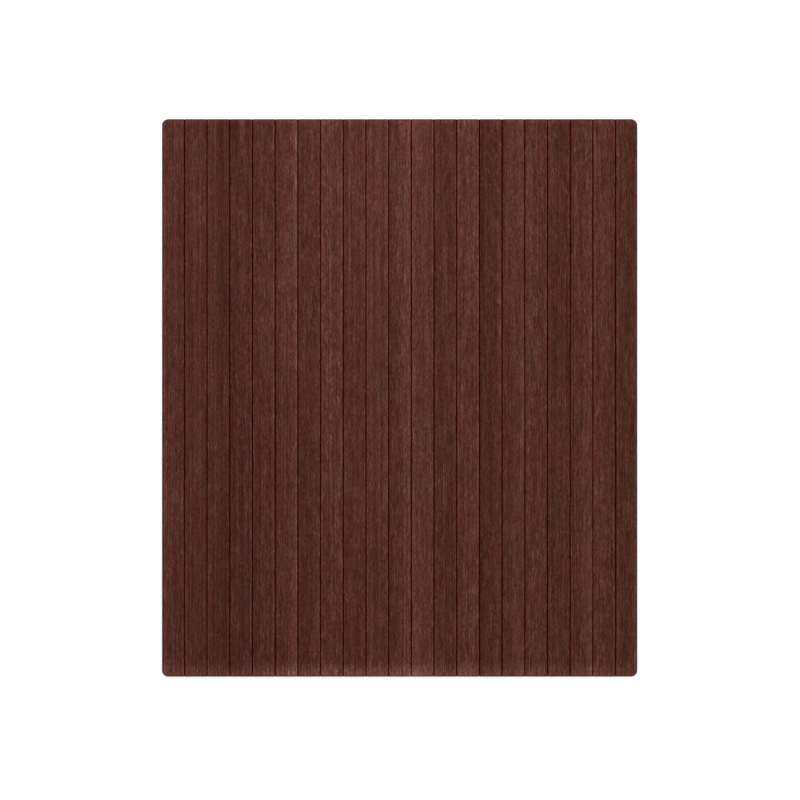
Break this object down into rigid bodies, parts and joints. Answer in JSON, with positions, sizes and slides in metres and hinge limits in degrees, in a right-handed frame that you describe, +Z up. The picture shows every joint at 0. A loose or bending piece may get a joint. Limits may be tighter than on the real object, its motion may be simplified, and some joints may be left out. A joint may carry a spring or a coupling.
{
  "type": "chair mat",
  "caption": "Flat roll-up floor mat of dark stained bamboo slats on a flexible felt backing, laid under a desk chair so that it rolls easily and the floor is protected.",
  "frame": {"origin": "centre of the underside, on the floor plane", "axes": "+X across the slats, from the first slat to the last; +Y along the slats; +Z up out of the walking surface"},
  "size_m": [1.1218, 1.316, 0.007],
  "materials": {
    "stained_bamboo": "satin",
    "felt_backing": "matte"
  },
  "bodies": {
    "slat_unit_01": {"slat_01": "stained_bamboo", "backing_01": "felt_backing"},
    "slat_unit_02": {"slat_02": "stained_bamboo", "backing_02": "felt_backing"},
    "slat_unit_03": {"slat_03": "stained_bamboo", "backing_03": "felt_backing"},
    "slat_unit_04": {"slat_04": "stained_bamboo", "backing_04": "felt_backing"},
    "slat_unit_05": {"slat_05": "stained_bamboo", "backing_05": "felt_backing"},
    "slat_unit_06": {"slat_06": "stained_bamboo", "backing_06": "felt_backing"},
    "slat_unit_07": {"slat_07": "stained_bamboo", "backing_07": "felt_backing"},
    "slat_unit_08": {"slat_08": "stained_bamboo", "backing_08": "felt_backing"},
    "slat_unit_09": {"slat_09": "stained_bamboo", "backing_09": "felt_backing"},
    "slat_unit_10": {"slat_10": "stained_bamboo", "backing_10": "felt_backing"},
    "slat_unit_11": {"slat_11": "stained_bamboo", "backing_11": "felt_backing"},
    "slat_unit_12": {"slat_12": "stained_bamboo", "backing_12": "felt_backing"},
    "slat_unit_13": {"slat_13": "stained_bamboo", "backing_13": "felt_backing"},
    "slat_unit_14": {"slat_14": "stained_bamboo", "backing_14": "felt_backing"},
    "slat_unit_15": {"slat_15": "stained_bamboo", "backing_15": "felt_backing"},
    "slat_unit_16": {"slat_16": "stained_bamboo", "backing_16": "felt_backing"},
    "slat_unit_17": {"slat_17": "stained_bamboo", "backing_17": "felt_backing"},
    "slat_unit_18": {"slat_18": "stained_bamboo", "backing_18": "felt_backing"},
    "slat_unit_19": {"slat_19": "stained_bamboo", "backing_19": "felt_backing"},
    "slat_unit_20": {"slat_20": "stained_bamboo", "backing_20": "felt_backing"},
    "slat_unit_21": {"slat_21": "stained_bamboo", "backing_21": "felt_backing"}
  },
  "joints": [
    {"name": "seam_06_main_roll", "type": "hinge", "parent": "slat_unit_06", "child": "slat_unit_07", "pos_m": [-0.24013, 0, 0.001], "axis": [0, 1, 0], "range_deg": [-8.1, 41.9]},
    {"name": "seam_07", "type": "hinge", "parent": "slat_unit_07", "child": "slat_unit_08", "pos_m": [-0.18657, 0, 0.001], "axis": [0, 1, 0], "range_deg": [-8.28, 42.79]},
    {"name": "seam_08", "type": "hinge", "parent": "slat_unit_08", "child": "slat_unit_09", "pos_m": [-0.13303, 0, 0.001], "axis": [0, 1, 0], "range_deg": [-8.46, 43.73]},
    {"name": "seam_09", "type": "hinge", "parent": "slat_unit_09", "child": "slat_unit_10", "pos_m": [-0.07948, 0, 0.001], "axis": [0, 1, 0], "range_deg": [-8.66, 44.74]},
    {"name": "seam_10", "type": "hinge", "parent": "slat_unit_10", "child": "slat_unit_11", "pos_m": [-0.02593, 0, 0.001], "axis": [0, 1, 0], "range_deg": [-8.86, 45.82]},
    {"name": "seam_11", "type": "hinge", "parent": "slat_unit_11", "child": "slat_unit_12", "pos_m": [0.02763, 0, 0.001], "axis": [0, 1, 0], "range_deg": [-9.09, 46.98]},
    {"name": "seam_12", "type": "hinge", "parent": "slat_unit_12", "child": "slat_unit_13", "pos_m": [0.08117, 0, 0.001], "axis": [0, 1, 0], "range_deg": [-9.33, 48.24]},
    {"name": "seam_13", "type": "hinge", "parent": "slat_unit_13", "child": "slat_unit_14", "pos_m": [0.13473, 0, 0.001], "axis": [0, 1, 0], "range_deg": [-9.6, 49.61]},
    {"name": "seam_14", "type": "hinge", "parent": "slat_unit_14", "child": "slat_unit_15", "pos_m": [0.18827, 0, 0.001], "axis": [0, 1, 0], "range_deg": [-9.89, 51.1]},
    {"name": "seam_15", "type": "hinge", "parent": "slat_unit_15", "child": "slat_unit_16", "pos_m": [0.24183, 0, 0.001], "axis": [0, 1, 0], "range_deg": [-10.2, 52.74]},
    {"name": "seam_16", "type": "hinge", "parent": "slat_unit_16", "child": "slat_unit_17", "pos_m": [0.29537, 0, 0.001], "axis": [0, 1, 0], "range_deg": [-10.56, 54.56]},
    {"name": "seam_17", "type": "hinge", "parent": "slat_unit_17", "child": "slat_unit_18", "pos_m": [0.34892, 0, 0.001], "axis": [0, 1, 0], "range_deg": [-10.95, 56.59]},
    {"name": "seam_18", "type": "hinge", "parent": "slat_unit_18", "child": "slat_unit_19", "pos_m": [0.40248, 0, 0.001], "axis": [0, 1, 0], "range_deg": [-11.39, 58.87]},
    {"name": "seam_19", "type": "hinge", "parent": "slat_unit_19", "child": "slat_unit_20", "pos_m": [0.45603, 0, 0.001], "axis": [0, 1, 0], "range_deg": [-11.89, 61.46]},
    {"name": "seam_20", "type": "hinge", "parent": "slat_unit_20", "child": "slat_unit_21", "pos_m": [0.50958, 0, 0.001], "axis": [0, 1, 0], "range_deg": [-12.47, 64.45]},
    {"name": "seam_05_tail_roll", "type": "hinge", "parent": "slat_unit_06", "child": "slat_unit_05", "pos_m": [-0.29368, 0, 0.001], "axis": [0, -1, 0], "range_deg": [-12.5, 41.1]},
    {"name": "seam_04", "type": "hinge", "parent": "slat_unit_05", "child": "slat_unit_04", "pos_m": [-0.34723, 0, 0.001], "axis": [0, -1, 0], "range_deg": [-12.27, 40.31]},
    {"name": "seam_03", "type": "hinge", "parent": "slat_unit_04", "child": "slat_unit_03", "pos_m": [-0.40077, 0, 0.001], "axis": [0, -1, 0], "range_deg": [-12.04, 39.57]},
    {"name": "seam_02", "type": "hinge", "parent": "slat_unit_03", "child": "slat_unit_02", "pos_m": [-0.45432, 0, 0.001], "axis": [0, -1, 0], "range_deg": [-11.83, 38.87]},
    {"name": "seam_01", "type": "hinge", "parent": "slat_unit_02", "child": "slat_unit_01", "pos_m": [-0.50787, 0, 0.001], "axis": [0, -1, 0], "range_deg": [-11.63, 38.22]}
  ],
  "couplings": [
    {"joint": "seam_07", "follows": "seam_06_main_roll", "ratio": 1.0211},
    {"joint": "seam_08", "follows": "seam_06_main_roll", "ratio": 1.0435},
    {"joint": "seam_09", "follows": "seam_06_main_roll", "ratio": 1.0675},
    {"joint": "seam_10", "follows": "seam_06_main_roll", "ratio": 1.0932},
    {"joint": "seam_11", "follows": "seam_06_main_roll", "ratio": 1.121},
    {"joint": "seam_12", "follows": "seam_06_main_roll", "ratio": 1.151},
    {"joint": "seam_13", "follows": "seam_06_main_roll", "ratio": 1.1837},
    {"joint": "seam_14", "follows": "seam_06_main_roll", "ratio": 1.2193},
    {"joint": "seam_15", "follows": "seam_06_main_roll", "ratio": 1.2585},
    {"joint": "seam_16", "follows": "seam_06_main_roll", "ratio": 1.3019},
    {"joint": "seam_17", "follows": "seam_06_main_roll", "ratio": 1.3503},
    {"joint": "seam_18", "follows": "seam_06_main_roll", "ratio": 1.4047},
    {"joint": "seam_19", "follows": "seam_06_main_roll", "ratio": 1.4666},
    {"joint": "seam_20", "follows": "seam_06_main_roll", "ratio": 1.5379},
    {"joint": "seam_04", "follows": "seam_05_tail_roll", "ratio": 0.9805},
    {"joint": "seam_03", "follows": "seam_05_tail_roll", "ratio": 0.9626},
    {"joint": "seam_02", "follows": "seam_05_tail_roll", "ratio": 0.9456},
    {"joint": "seam_01", "follows": "seam_05_tail_roll", "ratio": 0.9296}
  ]
}
